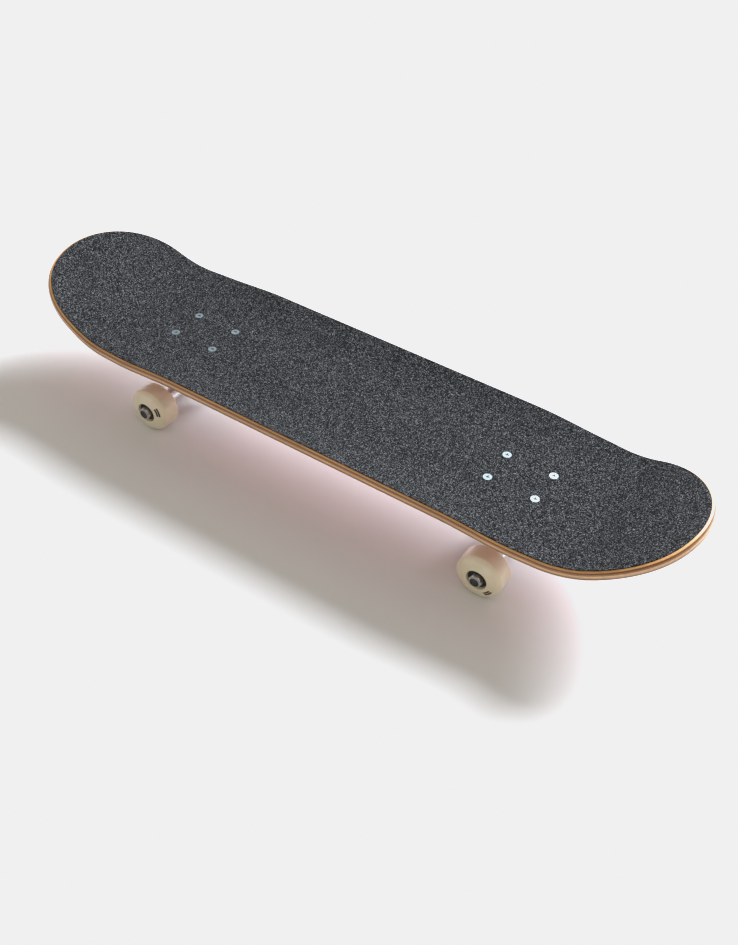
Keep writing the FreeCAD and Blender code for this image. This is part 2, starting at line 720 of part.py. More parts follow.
def make_kingpin(end, truck):
    """The kingpin with its nut, and on it two bushings with a cupped washer at each outer end."""
    upright = truck.multiply(kingpin_frame)
    total = f"{head_height - kingpin_bottom}"
    corners = [(0, 0), ("kingpin_radius * 0.8", 0), ("kingpin_radius", "kingpin_radius * 0.2")]
    corners += [("kingpin_radius", total), ("kingpin_head_radius", total)]
    corners += [("kingpin_head_radius", f"{total} + kingpin_head_thickness")]
    corners += [(0, f"{total} + kingpin_head_thickness")]
    keep(turned(f"{end}_kingpin", corners, upright.multiply(place(z=kingpin_bottom))))
    facing_down = upright.multiply(place(z=nut_top, axis=X_AXIS, angle=180))
    keep(lock_nut(f"{end}_kingpin_nut", "kingpin_nut", "kingpin_radius", facing_down))

    bore, lip, bevel = "kingpin_radius + kingpin_clearance", "bushing_lip_radius", "bushing_bevel"
    corners = [(bore, "-bushing_lip_height"), (lip, "-bushing_lip_height"), (lip, 0)]
    corners += [(f"boardside_radius - {bevel}", 0), ("boardside_radius", bevel)]
    corners += [("boardside_radius", f"boardside_height - {bevel}")]
    corners += [(f"boardside_radius - {bevel}", "boardside_height"), (bore, "boardside_height")]
    keep(turned(f"{end}_boardside_bushing", corners, upright.multiply(place(z=ring_half))))
    corners = [(bore, "-bushing_lip_height"), (lip, "-bushing_lip_height"), (lip, 0)]
    corners += [(f"roadside_radius - {bevel}", 0), ("roadside_radius", bevel)]
    corners += [("roadside_tip_radius", "roadside_height"), (bore, "roadside_height")]
    under_ring = upright.multiply(place(z=-ring_half, axis=X_AXIS, angle=180))
    keep(turned(f"{end}_roadside_bushing", corners, under_ring))

    washers = []
    stands = {
        "boardside": ("boardside_radius", upright.multiply(place(z=boardside_top))),
        "roadside": ("roadside_tip_radius", upright.multiply(place(z=roadside_bottom, axis=X_AXIS, angle=180))),
    }
    for side, (radius, stand) in stands.items():
        inside = f"{radius} + washer_lip_gap"
        outside = f"{inside} + washer_lip"
        corners = [(bore, 0), (inside, 0), (inside, "-washer_lip_height"), (outside, "-washer_lip_height")]
        corners += [(outside, "washer_thickness"), (bore, "washer_thickness")]
        washers.append(turned(f"{end}_{side}_washer", corners, stand))
    keep(joined("Compound", f"{end}_bushing_washers", washers))


def make_pivot_cup(end, truck):
    """The urethane cup pressed into the baseplate, which the hanger's pivot turns in."""
    inside, outside = "stub_radius + cup_clearance", "stub_radius + cup_clearance + cup_wall"
    floor = "cup_length"
    corners = [(inside, 0), (outside, 0), (outside, f"{floor} + cup_end"), (0, f"{floor} + cup_end")]
    corners += [(0, floor), (f"{inside} - stub_nose / 2", floor), (inside, f"{floor} - stub_nose")]
    mouth = truck.multiply(steering_frame).multiply(place(z=cup_mouth))
    keep(turned(f"{end}_pivot_cup", corners, mouth))


# ---------------------------------------------------------------- hanger and axle


def make_hanger(end, truck):
    """The cast hanger: two tapering arms on the axle, the ring that the bushings hold, and the pivot."""
    label = f"{end}_hanger"
    half, end_radius, middle = "hanger_width / 2", "hanger_end_radius", "hanger_middle_radius"
    stations = [(end_radius, half), (end_radius, f"{half} - hanger_collar_length")]
    stations += [("hanger_waist_radius", "hanger_waist_reach"), (middle, "hanger_middle_reach")]
    corners = [(0, half)] + stations
    corners += [(radius, f"-({height})") for radius, height in reversed(stations)] + [(0, f"-{half}")]
    arms = turned(label + "_arms", corners, axle_frame)

    ring_radius = "boardside_radius + ring_seat_gap + ring_wall"
    ring_low = -ring_half - size("ring_lip_height")
    ring = primitive("Cylinder", label + "_ring", kingpin_frame.multiply(place(z=ring_low)), Radius=ring_radius)
    bind(ring, "Height", "ring_floor + 2 * ring_lip_height")
    reach = "stub_length + stub_root_length"
    corners = [(0, 0), ("stub_root_radius", 0)]
    corners += [("stub_root_radius", "stub_root_length * 0.7"), ("stub_radius", "stub_root_length")]
    corners += [("stub_radius", f"{reach} - stub_nose"), ("stub_radius - stub_nose / 2", reach), (0, reach)]
    stub = turned(label + "_stub", corners, steering_frame.multiply(place(z=stub_root)))
    # The web fills the triangle between the ring, the axle and the root of the pivot.
    root = steering_frame.multVec(V(0, 0, stub_root + size("stub_root_length") / 2))
    side = steering_frame.Rotation.multVec(X_AXIS) * size("stub_root_radius") * 0.8
    rim = kingpin_frame.multVec(V(size("boardside_radius"), 0, ring_half))
    low_rim = kingpin_frame.multVec(V(size("boardside_radius"), 0, -ring_half))
    axle_x, axle_z = size("axle_offset"), -size("truck_height")
    web_points = [low_rim, rim, root - side, root + side]
    corners = [(round(p.x, 4), round(p.z, 4)) for p in web_points]
    corners += [(axle_x + size("hanger_end_radius") * 0.8, axle_z), (axle_x - size("hanger_end_radius") * 0.8, axle_z)]
    web = padded(label + "_web", "XZ_Plane", corners, "web_width", midplane=True)
    # The yoke spreads from the ring's sides to the arms, in the slope from the ring to the axle.
    slope = math.atan2(size("truck_height") - size("ring_depth"), size("axle_offset") + size("ring_inset"))
    run = (size("axle_offset") + size("ring_inset")) / math.cos(slope)
    corners = [(0, f"-({ring_radius}) * 0.94"), (round(run, 4), "-yoke_half_width")]
    corners += [(round(run, 4), "yoke_half_width"), (0, f"({ring_radius}) * 0.94")]
    yoke = padded(label + "_yoke", "XY_Plane", corners, "yoke_thickness", midplane=True)
    yoke.Placement = FreeCAD.Placement(ring_centre, FreeCAD.Rotation(Y_AXIS, math.degrees(slope)))
    casting = joined("MultiFuse", label + "_casting", [arms, ring, web, yoke, stub])

    bore = primitive("Cylinder", label + "_axle_bore", Radius="axle_radius", Height="hanger_width + 2")
    bore.Placement = axle_frame.multiply(place(z=-inner_washer_at - 1))
    hole = primitive("Cylinder", label + "_kingpin_hole", Height="ring_floor * 6")
    bind(hole, "Radius", "bushing_lip_radius + ring_hole_gap")
    hole.Placement = kingpin_frame.multiply(place(z=-3 * size("ring_floor")))
    tools = [bore, hole]
    for name, at in (("upper", ring_half), ("lower", -ring_half - size("ring_depth"))):
        seat = primitive("Cylinder", f"{label}_{name}_seat", Radius="boardside_radius + ring_seat_gap")
        bind(seat, "Height", "ring_depth")
        seat.Placement = kingpin_frame.multiply(place(z=at))
        tools.append(seat)
    keep(cut(label, casting, joined("MultiFuse", label + "_tools", tools), truck))


def make_axle(end, truck):
    """The steel axle through the hanger, and at both ends what clamps the wheels' bearings to it."""
    chamfer = "axle_chamfer"
    reach = "hanger_width / 2 + 2 * speed_washer_thickness + 2 * bearing_width + spacer_length"
    reach += " + axle_nut_height + axle_tip"
    corners = [(0, f"-({reach})"), (f"axle_radius - {chamfer}", f"-({reach})")]
    corners += [("axle_radius", f"{chamfer} - ({reach})"), ("axle_radius", f"{reach} - {chamfer}")]
    corners += [(f"axle_radius - {chamfer}", reach), (0, reach)]
    keep(turned(f"{end}_axle", corners, truck.multiply(axle_frame)))

    washer_corners = [("axle_radius + speed_washer_gap", 0), ("speed_washer_radius", 0)]
    washer_corners += [("speed_washer_radius", "speed_washer_thickness")]
    washer_corners += [("axle_radius + speed_washer_gap", "speed_washer_thickness")]
    spacer_bore = "axle_radius + speed_washer_gap"
    spacer_corners = [(spacer_bore, 0), (f"{spacer_bore} + spacer_wall", 0)]
    spacer_corners += [(f"{spacer_bore} + spacer_wall", "spacer_length"), (spacer_bore, "spacer_length")]
    insert_corners = [("axle_radius", 0), ("axle_nut_insert_radius", 0)]
    insert_corners += [("axle_nut_insert_radius", "axle_nut_insert_height"), ("axle_radius", "axle_nut_insert_height")]
    insert_at = axle_nut_at + size("axle_nut_height") - size("axle_nut_insert_height")
    groups = {"axle_nuts": [], "axle_nut_inserts": [], "speed_washers": [], "bearing_spacers": []}
    for name, side in SIDES[end].items():
        stem = f"{end}_{name}"
        nut = lock_nut(f"{stem}_axle_nut", "axle_nut", "axle_radius", on_axle(truck, side, axle_nut_at), True)
        groups["axle_nuts"].append(nut)
        groups["axle_nut_inserts"].append(
            turned(f"{stem}_nut_insert", insert_corners, on_axle(truck, side, insert_at))
        )
        for where, at in (("inner", inner_washer_at), ("outer", outer_washer_at)):
            washer = turned(f"{stem}_{where}_speed_washer", washer_corners, on_axle(truck, side, at))
            groups["speed_washers"].append(washer)
        spacer = turned(f"{stem}_bearing_spacer", spacer_corners, on_axle(truck, side, spacer_at))
        groups["bearing_spacers"].append(spacer)
    for name, items in groups.items():
        keep(joined("Compound", f"{end}_{name}", items))


# ---------------------------------------------------------------- bearings and wheels


def race(label, outside, bore, placement):
    """A bearing race: a ring with the balls' groove turned into it."""
    ring = primitive("Cylinder", label + "_ring", Radius=outside, Height="bearing_width")
    hole = primitive("Cylinder", label + "_hole", place(z=-1), Radius=bore, Height="bearing_width + 2")
    groove = primitive("Torus", label + "_groove", Radius1="ball_circle")
    bind(groove, "Radius2", "ball_radius + ball_gap")
    bind(groove, "Placement.Base.z", "bearing_width / 2")
    return cut(label, ring, joined("MultiFuse", label + "_tools", [hole, groove]), placement)


def bearing_seats(truck, side):
    """Both bearings of one wheel, each with +Z away from the wheel's middle."""
    inner = on_axle(truck, side, spacer_at).multiply(place(axis=X_AXIS, angle=180))
    return {"inner": inner, "outer": on_axle(truck, side, outer_bearing_at)}


def make_inner_races(end, truck):
    races = []
    for name, side in SIDES[end].items():
        for where, stand in bearing_seats(truck, side).items():
            label = f"{end}_{name}_{where}_inner_race"
            races.append(race(label, "inner_race_radius", "axle_radius + bearing_bore_gap", stand))
    keep(joined("Compound", f"{end}_bearing_inner_races", races))


def cage(label, placement):
    """The crown that spaces the balls: a ring with a round pocket for each, open on one side."""
    inside, outside = "ball_circle - cage_wall / 2", "ball_circle + cage_wall / 2"
    low, high = "-ball_radius - cage_gap - cage_back", "cage_crown"
    corners = [(inside, low), (outside, low), (outside, high), (inside, high)]
    ring = turned(label + "_ring", corners)
    pockets = []
    for i in range(BALLS):
        pocket = primitive("Sphere", f"{label}_pocket_{i}", Radius="ball_radius + cage_gap")
        pocket.Placement = place(angle=360 * i / BALLS).multiply(place(ball_circle))
        pockets.append(pocket)
    return cut(label, ring, joined("Compound", label + "_pockets", pockets), placement)


def make_wheel(end, truck, side, name):
    """One wheel with what turns with it, and the balls and cages that roll between the races."""
    stem = f"{end}_{name}"
    half = "wheel_width / 2"
    hub_face = f"{half} - wheel_hub_sink"
    ridge = size("bearing_radius") + size("wheel_hub_rim") + size("wheel_ridge_width")
    seat = "spacer_length / 2"
    face = [
        ("bearing_radius - wheel_bearing_stop", seat),
        ("bearing_radius", seat),
        ("bearing_radius", f"{seat} + bearing_width"),
        ("bearing_radius + wheel_hub_rim", hub_face),
        ("bearing_radius + wheel_hub_rim + wheel_ridge_width", half),
        ("wheel_radius - wheel_shoulder_drop", "wheel_shoulder_width / 2"),
        ("wheel_radius", "wheel_tread_width / 2"),
    ]
    corners = face + [(radius, f"-({height})") for radius, height in reversed(face)]
    wheel = turned(f"{stem}_wheel", corners)
    doc.recompute()
    for kind, radius, chosen in (
        ("shoulders", "wheel_edge_radius", (size("wheel_radius"), size("wheel_radius") - size("wheel_shoulder_drop"))),
        ("ridges", "wheel_ridge_round", (ridge,)),
    ):
        base = wheel.Tip
        edges = [
            f"Edge{i}"
            for i, edge in enumerate(base.Shape.Edges, start=1)
            if isinstance(edge.Curve, Part.Circle) and any(abs(edge.Curve.Radius - r) < 0.01 for r in chosen)
        ]
        fillet = wheel.newObject("PartDesign::Fillet", f"{stem}_wheel_{kind}")
        fillet.Base = (base, edges)
        bind(fillet, "Radius", radius)
        doc.recompute()
    wheel.Placement = on_axle(truck, side, wheel_middle)
    keep(wheel)

    outers, shields, balls, cages = [], [], [], []
    shield_bore = "inner_race_radius + shield_gap"
    shield_corners = [(shield_bore, "-shield_thickness"), ("outer_race_bore", "-shield_thickness")]
    shield_corners += [("outer_race_bore", 0), (shield_bore, 0)]
    for where, stand in bearing_seats(truck, side).items():
        label = f"{stem}_{where}"
        outers.append(race(label + "_outer_race", "bearing_radius", "outer_race_bore", stand))
        shield_at = stand.multiply(place(z=size("bearing_width") - size("shield_sink")))
        shields.append(turned(label + "_shield", shield_corners, shield_at))
        middle = stand.multiply(place(z=size("bearing_width") / 2))
        cages.append(cage(label + "_cage", middle))
        for i in range(BALLS):
            at = middle.multiply(place(angle=360 * i / BALLS)).multiply(place(ball_circle))
            balls.append(primitive("Sphere", f"{label}_ball_{i}", at, Radius="ball_radius"))
    keep(joined("Compound", f"{stem}_bearing_outer_races", outers))
    keep(joined("Compound", f"{stem}_bearing_shields", shields))
    keep(joined("Compound", f"{stem}_bearing_balls", balls))
    keep(joined("Compound", f"{stem}_bearing_cages", cages))


# ---------------------------------------------------------------- the whole board

make_deck()
for end, truck in TRUCKS.items():
    make_baseplate(end, truck)
    make_pivot_cup(end, truck)
    make_kingpin(end, truck)
    make_mounting_hardware(end, truck)
    make_hanger(end, truck)
    make_axle(end, truck)
    make_inner_races(end, truck)
    for name, side in SIDES[end].items():
        make_wheel(end, truck, side, name)
doc.recompute()

failed = [o.Label for o in doc.Objects if {"Invalid", "Error"} & set(o.State)]
failed += [n.Label for n in nodes if n.Shape.isNull() or not n.Shape.isValid() or not n.Shape.Solids]
if failed:
    raise SystemExit(f"these did not build: {sorted(set(failed))}")

os.makedirs("parts", exist_ok=True)
for node in nodes:
    node.Shape.exportStep(f"parts/{node.Label}.step")
print(f"{len(nodes)} nodes, {sum(len(n.Shape.Solids) for n in nodes)} solids")
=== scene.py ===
import math

import bmesh
import bpy
from mathutils import Matrix, Vector


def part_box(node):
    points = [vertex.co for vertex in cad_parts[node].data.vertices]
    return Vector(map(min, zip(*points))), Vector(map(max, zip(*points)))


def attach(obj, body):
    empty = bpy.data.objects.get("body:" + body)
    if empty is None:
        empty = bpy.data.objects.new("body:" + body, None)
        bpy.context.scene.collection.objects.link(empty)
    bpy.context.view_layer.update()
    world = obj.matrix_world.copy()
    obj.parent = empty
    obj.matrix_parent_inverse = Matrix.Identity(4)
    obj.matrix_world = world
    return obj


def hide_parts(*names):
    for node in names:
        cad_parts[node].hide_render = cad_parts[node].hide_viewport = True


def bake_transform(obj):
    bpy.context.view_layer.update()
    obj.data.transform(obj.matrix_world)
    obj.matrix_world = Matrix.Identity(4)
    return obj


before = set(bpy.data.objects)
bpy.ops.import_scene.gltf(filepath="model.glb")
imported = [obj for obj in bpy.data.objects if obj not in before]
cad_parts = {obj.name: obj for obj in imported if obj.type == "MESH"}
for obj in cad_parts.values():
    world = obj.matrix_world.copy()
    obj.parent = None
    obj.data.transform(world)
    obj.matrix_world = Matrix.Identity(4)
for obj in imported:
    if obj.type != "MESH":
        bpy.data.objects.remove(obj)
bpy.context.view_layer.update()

# ---------------------------------------------------------------- the pressed maple deck
# Seven sheets of maple veneer, glued and pressed in a mould that dishes the board across its width
# and kicks up both ends. The blank is sawn to its outline, the edge is routed round, and the plies
# show along it as stripes, some of them stained.

DECK_WIDTH = 0.205
NOSE_REACH = 0.4085  # from the middle of the wheelbase
TAIL_REACH = 0.3995
TAPER_RADIUS, TAPER_TURN = 0.878, math.radians(7.4)
NOSE_SHOULDER, NOSE_SHOULDER_TURN = 0.086, math.radians(64.4)
TAIL_SHOULDER, TAIL_SHOULDER_TURN = 0.092, math.radians(58.2)
DISH_FLAT, DISH_RADIUS = 0.034, 0.250
DISH_HOLDS, DISH_EASES, DISH_EASING = 0.170, 0.250, 0.42
KICK_RADIUS = 0.125
NOSE_FLAT, NOSE_KICK = 0.274, math.radians(25)
TAIL_FLAT, TAIL_KICK = 0.273, math.radians(24.8)
PLY = 0.0015
PLIES = 7
EDGE_ROUND = 0.0025
STRIP, BEND_STRIP, EASING_STRIP = 0.0068, 0.004, 0.01  # the blank's strips, narrow where it bends
wheelbase_middle = (TAIL_REACH - NOSE_REACH) / 2
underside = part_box("deck_ply_1")[0].z


def lift(x, y, height):
    """How high the mould holds a point of the blank that starts at this height above its underside.
    The dish is deepest between the trucks and eases towards the kicks."""
    side = max(abs(y) - DISH_FLAT, 0)
    along = abs(x)
    eased = min(max((along - DISH_HOLDS) / (DISH_EASES - DISH_HOLDS), 0), 1)
    eased = DISH_EASING * eased * eased * (3 - 2 * eased)
    rise = DISH_RADIUS - height - math.sqrt((DISH_RADIUS - height) ** 2 - side**2)
    dished = height + rise * (1 - eased)
    flat, kick = (NOSE_FLAT, NOSE_KICK) if x > 0 else (TAIL_FLAT, TAIL_KICK)
    bend_end = flat + (KICK_RADIUS - dished) * math.sin(kick)
    if along <= flat:
        return dished
    if along < bend_end:
        return KICK_RADIUS - math.sqrt((KICK_RADIUS - dished) ** 2 - (along - flat) ** 2)
    return KICK_RADIUS - (KICK_RADIUS - dished) * math.cos(kick) + (along - bend_end) * math.tan(kick)


def draw_outline(bm, height, inset):
    """Draws the board's outline as a loop of edges at a height, moved in by inset. Both ends are sawn
    square to the kicks, so they are further in the higher they are."""
    before = set(bm.edges)
    half = DECK_WIDTH / 2
    joints = []
    for way, reach, kick, shoulder, shoulder_turn in (
        (1, NOSE_REACH, NOSE_KICK, NOSE_SHOULDER, NOSE_SHOULDER_TURN),
        (-1, TAIL_REACH, TAIL_KICK, TAIL_SHOULDER, TAIL_SHOULDER_TURN),
    ):
        reach -= height * math.sin(kick)
        turn = TAPER_TURN + shoulder_turn
        fall = TAPER_RADIUS * (1 - math.cos(TAPER_TURN))
        tip = (half - fall - shoulder * (math.cos(TAPER_TURN) - math.cos(turn))) / math.cos(turn)
        tip_x = reach - tip
        shoulder_x = tip_x + (tip - shoulder) * math.sin(turn)
        shoulder_y = (tip - shoulder) * math.cos(turn)
        taper_x = shoulder_x - (TAPER_RADIUS - shoulder) * math.sin(TAPER_TURN)
        corner = bm.verts.new((way * (reach - inset), 0, height))
        for x, y, angle, steps in (
            (tip_x, 0, math.pi / 2 - turn, 14),
            (shoulder_x, shoulder_y, shoulder_turn, 28),
            (taper_x, half - TAPER_RADIUS, TAPER_TURN, 10),
        ):
            centre = (way * x, y, height)
            swept = bmesh.ops.spin(
                bm, geom=[corner], cent=centre, axis=(0, 0, 1), angle=way * angle, steps=steps
            )
            corner = next(g for g in swept["geom_last"] if isinstance(g, bmesh.types.BMVert))
        joints.append(corner)
    bm.edges.new(joints)
    left = [e for e in bm.edges if e not in before]
    right = bmesh.ops.duplicate(bm, geom=left + list({v for e in left for v in e.verts}))["geom"]
    right_verts = [g for g in right if isinstance(g, bmesh.types.BMVert)]
    bmesh.ops.scale(bm, vec=(1, -1, 1), verts=right_verts)
    ends = [v for e in bm.edges if e not in before for v in e.verts]
    bmesh.ops.remove_doubles(bm, verts=list(set(ends)), dist=1e-6)
    return [e for e in bm.edges if e not in before]


def saw_blank(levels):
    """A flat layer of the board, bridged from one outline to the next and cut into strips that the
    mould can bend. Levels are (height, inset) from its underside up."""
    bm = bmesh.new()
    loops = [draw_outline(bm, height, inset) for height, inset in levels]
    for low, high in zip(loops, loops[1:]):
        bmesh.ops.bridge_loops(bm, edges=low + high)
    for rim in (loops[0], loops[-1]):
        bmesh.ops.edgeloop_fill(bm, edges=rim)
    across = [sign * (DISH_FLAT + STRIP * i) for i in range(10) for sign in (1, -1)]
    along = [NOSE_FLAT + BEND_STRIP * i for i in range(15)]
    along += [DISH_HOLDS + EASING_STRIP * i for i in range(10)]
    along += [-TAIL_FLAT - BEND_STRIP * i for i in range(15)]
    along += [-DISH_HOLDS - EASING_STRIP * i for i in range(10)]
    cuts = [((x, 0, 0), (1, 0, 0)) for x in along] + [((0, y, 0), (0, 1, 0)) for y in across]
    for point, normal in cuts:
        everything = bm.verts[:] + bm.edges[:] + bm.faces[:]
        bmesh.ops.bisect_plane(bm, geom=everything, dist=1e-6, plane_co=point, plane_no=normal)
    bmesh.ops.recalc_face_normals(bm, faces=bm.faces)
    return bm


def turn_section(bm, section, steps, place, solid=False):
    """Turns a section of (radius, height) corners round the Z axis, and moves it to its place. A
    solid one starts and ends on the axis; otherwise the section closes on itself."""
    corners = [bm.verts.new((radius, 0, height)) for radius, height in section]
    followers = corners[1:] if solid else corners[1:] + corners[:1]
    sides = [bm.edges.new(pair) for pair in zip(corners, followers)]
    before = set(bm.verts) - set(corners)
    once_round = {"cent": (0, 0, 0), "axis": (0, 0, 1), "angle": 2 * math.pi, "use_merge": True}
    bmesh.ops.spin(bm, geom=corners + sides, steps=steps, **once_round)
    made = [v for v in bm.verts if v not in before]
    bmesh.ops.remove_doubles(bm, verts=made, dist=1e-7)
    made = [v for v in bm.verts if v not in before]
    bmesh.ops.transform(bm, matrix=place, verts=made)
    faces = {f for v in made for f in v.link_faces}
    bmesh.ops.recalc_face_normals(bm, faces=list(faces))
    return faces


def as_piece(name, bm, finishes, sharp=35):
    """Makes a bmesh a smooth-shaded piece, with its edges crisp where they turn more than sharp."""
    for face in bm.faces:
        face.smooth = True
    for edge in bm.edges:
        edge.smooth = edge.is_manifold and edge.calc_face_angle(0) < math.radians(sharp)
    mesh = bpy.data.meshes.new(name)
    bm.to_mesh(mesh)
    bm.free()
    for finish in finishes:
        mesh.materials.append(finish)
    thing = bpy.data.objects.new(name, mesh)
    bpy.context.scene.collection.objects.link(thing)
    return thing


def baked(thing):
    """A new bmesh of the piece as its modifiers leave it; the piece itself is removed."""
    shaped = bpy.data.meshes.new_from_object(thing.evaluated_get(bpy.context.evaluated_depsgraph_get()))
    bm = bmesh.new()
    bm.from_mesh(shaped)
    bpy.data.objects.remove(thing)
    bpy.data.meshes.remove(shaped)
    return bm


# The truck bolts' holes go through every layer, with a countersink for the flat heads on top.
BOLT_HOLE, HEAD_HOLE = 0.0026, 0.0049
HEAD_FLOOR = 0.0111
BIT_TIP, BIT_TOP = -0.003, 0.015
bolt_ends = {}
for end in ("front", "rear"):
    low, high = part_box(f"{end}_mounting_bolts")
    centre = (low + high) / 2
    bolt_ends[end] = Vector((centre.x, 0, underside))
bolt_reach = Vector((0.027, 0.02065, 0))

drill_bits = bmesh.new()
for middle in bolt_ends.values():
    for across in (-1, 1):
        for along in (-1, 1):
            spot = (middle.x - wheelbase_middle + along * bolt_reach.x, across * bolt_reach.y, 0)
            cone_foot = HEAD_FLOOR - (HEAD_HOLE - BOLT_HOLE)
            bit = [(0, BIT_TIP), (BOLT_HOLE, BIT_TIP), (BOLT_HOLE, cone_foot), (HEAD_HOLE, HEAD_FLOOR)]
            bit += [(HEAD_HOLE, BIT_TOP), (0, BIT_TOP)]
            turn_section(drill_bits, bit, 32, Matrix.Translation(spot), solid=True)
drill_bits = as_piece("drill_bits", drill_bits, [])


def press_and_drill(name, levels, finishes):
    """Drills a layer while it is flat, then presses it to the mould's shape."""
    blank = as_piece(name + "_blank", saw_blank(levels), [])
    drilling = blank.modifiers.new("drilling", "BOOLEAN")
    drilling.operation = "DIFFERENCE"
    drilling.solver = "EXACT"
    drilling.object = drill_bits
    bm = baked(blank)
    for vert in bm.verts:
        x, y, height = vert.co
        vert.co = (x + wheelbase_middle, y, underside + lift(x, y, height))
    return as_piece(name, bm, finishes)


def new_finish(name, colour=(0.8, 0.8, 0.8), metallic=0.0, roughness=0.5):
    """A material with its shader's plain values set; returns the material, its tree and its shader."""
    finish = bpy.data.materials.new(name)
    finish.use_nodes = True
    shader = finish.node_tree.nodes["Principled BSDF"]
    shader.inputs["Base Color"].default_value = (*colour, 1)
    shader.inputs["Metallic"].default_value = metallic
    shader.inputs["Roughness"].default_value = roughness
    return finish, finish.node_tree, shader


def add_node(tree, kind, values=None, **settings):
    """One more node in a finish, with its settings and its sockets' values or links."""
    made = tree.nodes.new("ShaderNode" + kind)
    for name, setting in settings.items():
        setattr(made, name, setting)
    for name, value in (values or {}).items():
        if isinstance(value, bpy.types.NodeSocket):
            tree.links.new(value, made.inputs[name])
        else:
            made.inputs[name].default_value = value
    return made


def on_piece(tree, stretch=(1, 1, 1), turn=(0, 0, 0)):
    """The piece's own coordinates in metres, stretched and turned for a pattern."""
    place = add_node(tree, "TexCoord").outputs["Object"]
    values = {"Vector": place, "Scale": stretch, "Rotation": turn}
    return add_node(tree, "Mapping", values).outputs["Vector"]


def pattern(tree, coords, scale, detail=3.0, rough=0.5):
    """A noise pattern's strength, from 0 to 1."""
    values = {"Vector": coords, "Scale": scale, "Detail": detail, "Roughness": rough}
    return add_node(tree, "TexNoise", values).outputs["Fac"]


def shades(tree, strength, *stops):
    """Colours or greys along a pattern's strength, as (position, colour) stops."""
    ramp = add_node(tree, "ValToRGB", {"Fac": strength})
    elements = ramp.color_ramp.elements
    while len(elements) < len(stops):
        elements.new(0.5)
    for element, (position, colour) in zip(elements, stops):
        element.position = position
        element.color = (*colour, 1) if isinstance(colour, tuple) else (colour, colour, colour, 1)
    return ramp.outputs["Color"]


def blended(tree, strength, first, second, how="MIX"):
    """Two colours mixed by a strength; each is a link or a plain colour."""
    mix = add_node(tree, "Mix", data_type="RGBA", blend_type=how)
    for socket, value in ((mix.inputs[0], strength), (mix.inputs[6], first), (mix.inputs[7], second)):
        if isinstance(value, bpy.types.NodeSocket):
            tree.links.new(value, socket)
        else:
            socket.default_value = (*value, 1) if isinstance(value, tuple) else value
    return mix.outputs[2]


def rough_up(tree, shader, height, distance, strength=1.0):
    """Bumps of that depth in metres under the shader's surface."""
    values = {"Height": height, "Distance": distance, "Strength": strength}
    bump = add_node(tree, "Bump", values)
    tree.links.new(bump.outputs["Normal"], shader.inputs["Normal"])
    return bump


def veneer(name, light, dark, cross=False, roughness=0.42):
    """Maple veneer: long grain shows as streaks along the board, a cross ply as short end grain."""
    finish, tree, shader = new_finish(name, roughness=roughness)
    coords = on_piece(tree, (1, 1, 1) if cross else (0.06, 1, 1))
    streaks = pattern(tree, coords, 900 if cross else 520, 4, 0.6)
    cloud = pattern(tree, on_piece(tree, (0.3, 1, 1)), 28, 3)
    grain = shades(tree, streaks, (0.32, dark), (0.62, light))
    aged = shades(tree, cloud, (0.3, (0.78, 0.74, 0.70)), (0.7, (1.0, 1.0, 1.0)))
    tree.links.new(blended(tree, 0.75, grain, aged, "MULTIPLY"), shader.inputs["Base Color"])
    gloss = shades(tree, streaks, (0.2, roughness + 0.12), (0.8, roughness - 0.08))
    tree.links.new(gloss, shader.inputs["Roughness"])
    shader.inputs["Coat Weight"].default_value = 0.25
    shader.inputs["Coat Roughness"].default_value = 0.25
    rough_up(tree, shader, streaks, 0.00006, 0.5)
    return finish


def stained_underside():
    """The bottom veneer's face: a rose-red stain that lets the long grain show, under satin lacquer."""
    finish, tree, shader = new_finish("rose_stain", roughness=0.35)
    grain = pattern(tree, on_piece(tree, (0.035, 1, 1)), 160, 5, 0.62)
    figure = pattern(tree, on_piece(tree, (0.12, 1, 1)), 16, 2)
    stain = shades(tree, grain, (0.3, (0.48, 0.20, 0.198)), (0.7, (0.67, 0.37, 0.345)))
    cloud = shades(tree, figure, (0.25, (0.82, 0.80, 0.80)), (0.75, (1.0, 1.0, 1.0)))
    tree.links.new(blended(tree, 1.0, stain, cloud, "MULTIPLY"), shader.inputs["Base Color"])
    tree.links.new(shades(tree, grain, (0.2, 0.44), (0.8, 0.30)), shader.inputs["Roughness"])
    shader.inputs["Coat Weight"].default_value = 0.4
    shader.inputs["Coat Roughness"].default_value = 0.18
    rough_up(tree, shader, grain, 0.00005, 0.5)
    return finish


FACES_DOWN = -0.7  # a normal's rise, below which a face belongs to the stained underside
ply_finishes = [
    veneer("pale_veneer", (0.74, 0.50, 0.31), (0.58, 0.37, 0.21)),
    veneer("dark_veneer", (0.16, 0.075, 0.03), (0.09, 0.04, 0.016), cross=True),
    veneer("tan_veneer", (0.56, 0.33, 0.16), (0.42, 0.23, 0.10)),
    veneer("straw_veneer", (0.78, 0.50, 0.28), (0.60, 0.36, 0.18)),
    veneer("amber_veneer", (0.42, 0.19, 0.06), (0.30, 0.13, 0.04)),
    veneer("brown_veneer", (0.22, 0.085, 0.022), (0.14, 0.05, 0.013), cross=True),
    veneer("top_veneer", (0.76, 0.40, 0.15), (0.58, 0.29, 0.10)),
]
for ply, finish in enumerate(ply_finishes):
    levels = []
    for step in range(3):
        height = PLY * (ply + step / 2)
        share = 1 - math.sqrt(1 - (2 * height / (PLY * PLIES) - 1) ** 2)
        levels.append((height, EDGE_ROUND * share))
    name = f"pressed_ply_{ply + 1}"
    sheet = press_and_drill(name, levels, [finish])
    if ply == 0:
        sheet.data.materials.append(stained_underside())
        for face in sheet.data.polygons:
            face.material_index = int(face.normal.z < FACES_DOWN)
    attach(sheet, "deck")
    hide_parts(f"deck_ply_{ply + 1}")

